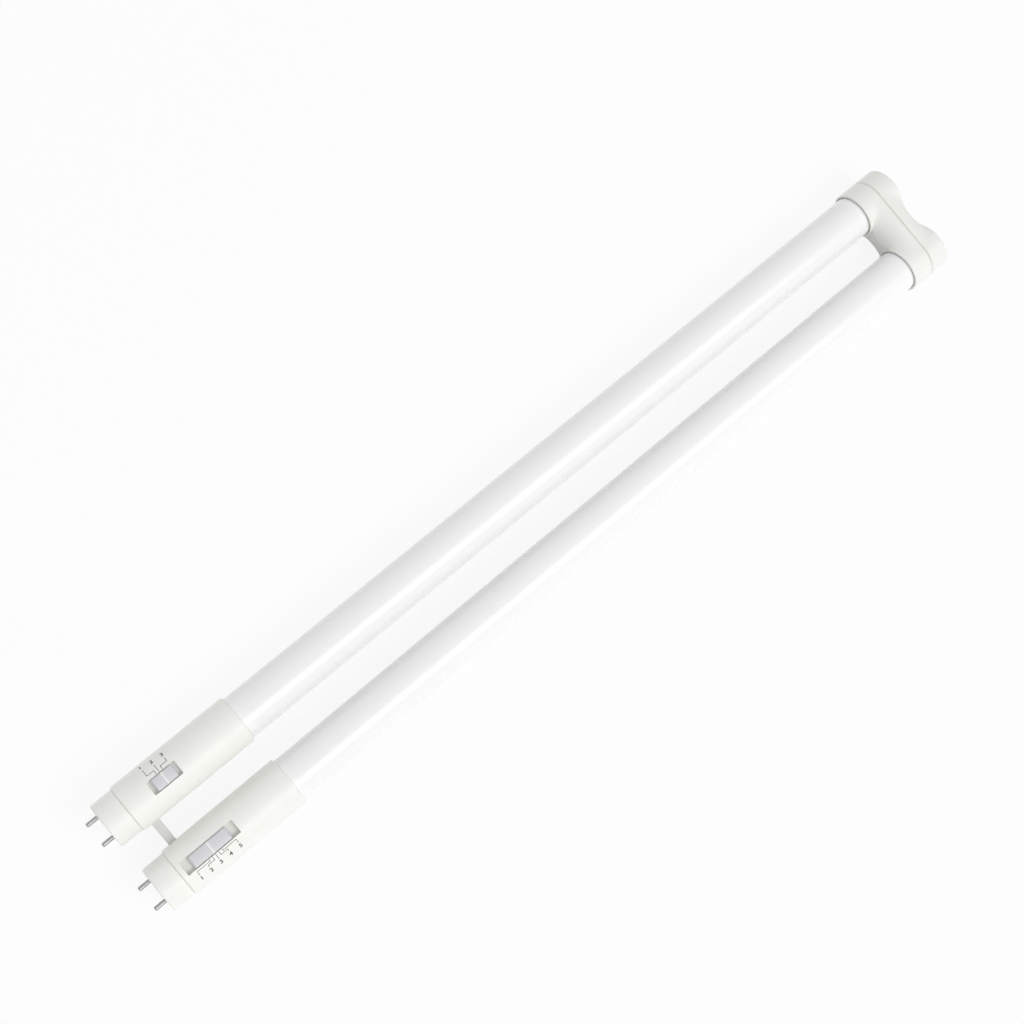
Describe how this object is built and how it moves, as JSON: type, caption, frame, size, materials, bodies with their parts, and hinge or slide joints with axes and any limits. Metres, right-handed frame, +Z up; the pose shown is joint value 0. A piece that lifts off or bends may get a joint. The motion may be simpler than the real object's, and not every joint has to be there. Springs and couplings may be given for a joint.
{
  "type": "u-bend led tube",
  "caption": "U-shaped LED lamp: straight milky tubes side by side, joined by a dog-bone bend cap, with bi-pin caps and slide selectors for power and light colour at the other end.",
  "frame": {"origin": "bottom centre of the lamp's box, on the surface that the lamp lies on", "axes": "+X along the legs from the contact pins to the bend, +Y to the leg with the power selector, +Z up on the selectors' side"},
  "size_m": [0.5784, 0.0698, 0.0286],
  "materials": {
    "housing_plastic": "fine satin moulded, warm white",
    "tube_glass": "milky coated glass, satin gloss",
    "selector_plastic": "satin moulded, pale lavender grey",
    "brace_plastic": "satin moulded, pale grey",
    "pin_metal": "nickel plated, satin",
    "circuit_board": "solder mask over glass laminate",
    "strip_board": "white solder mask over aluminium",
    "led_package": "phosphor filled packages",
    "switch_case": "moulded black",
    "fuse_body": "glazed body with plated end caps",
    "rectifier_body": "moulded black",
    "inductor_body": "ferrite drum with an enamelled winding",
    "capacitor_can": "sleeved can",
    "lead_sleeve": "insulated wire"
  },
  "bodies": {
    "lamp": {"power_leg_tube": "tube_glass", "power_leg_pin_cap": "housing_plastic", "power_leg_pins": "pin_metal", "power_leg_housing": "housing_plastic", "power_switch_body": "switch_case", "power_driver_board": "circuit_board", "power_fuse": "fuse_body", "power_rectifier": "rectifier_body", "power_inductor": "inductor_body", "power_capacitor": "capacitor_can", "power_pin_leads": "lead_sleeve", "power_strip_leads": "lead_sleeve", "power_led_strip": "strip_board", "power_leds": "led_package", "colour_leg_tube": "tube_glass", "colour_leg_pin_cap": "housing_plastic", "colour_leg_pins": "pin_metal", "colour_leg_housing": "housing_plastic", "colour_switch_body": "switch_case", "colour_driver_board": "circuit_board", "colour_fuse": "fuse_body", "colour_rectifier": "rectifier_body", "colour_inductor": "inductor_body", "colour_capacitor": "capacitor_can", "colour_pin_leads": "lead_sleeve", "colour_strip_leads": "lead_sleeve", "colour_led_strip": "strip_board", "colour_leds": "led_package", "bend_socket": "housing_plastic", "bend_cover": "housing_plastic", "bend_leads": "lead_sleeve", "leg_brace": "brace_plastic"},
    "power_selector_body": {"power_selector": "selector_plastic", "power_switch_slider": "switch_case"},
    "colour_selector_body": {"colour_selector": "selector_plastic", "colour_switch_slider": "switch_case"}
  },
  "joints": [
    {"name": "power_select", "type": "slide", "parent": "lamp", "child": "power_selector_body", "axis": [1, 0, 0], "range_m": [-0.002, 0.002]},
    {"name": "colour_select", "type": "slide", "parent": "lamp", "child": "colour_selector_body", "axis": [1, 0, 0], "range_m": [-0.004, 0.004]}
  ]
}
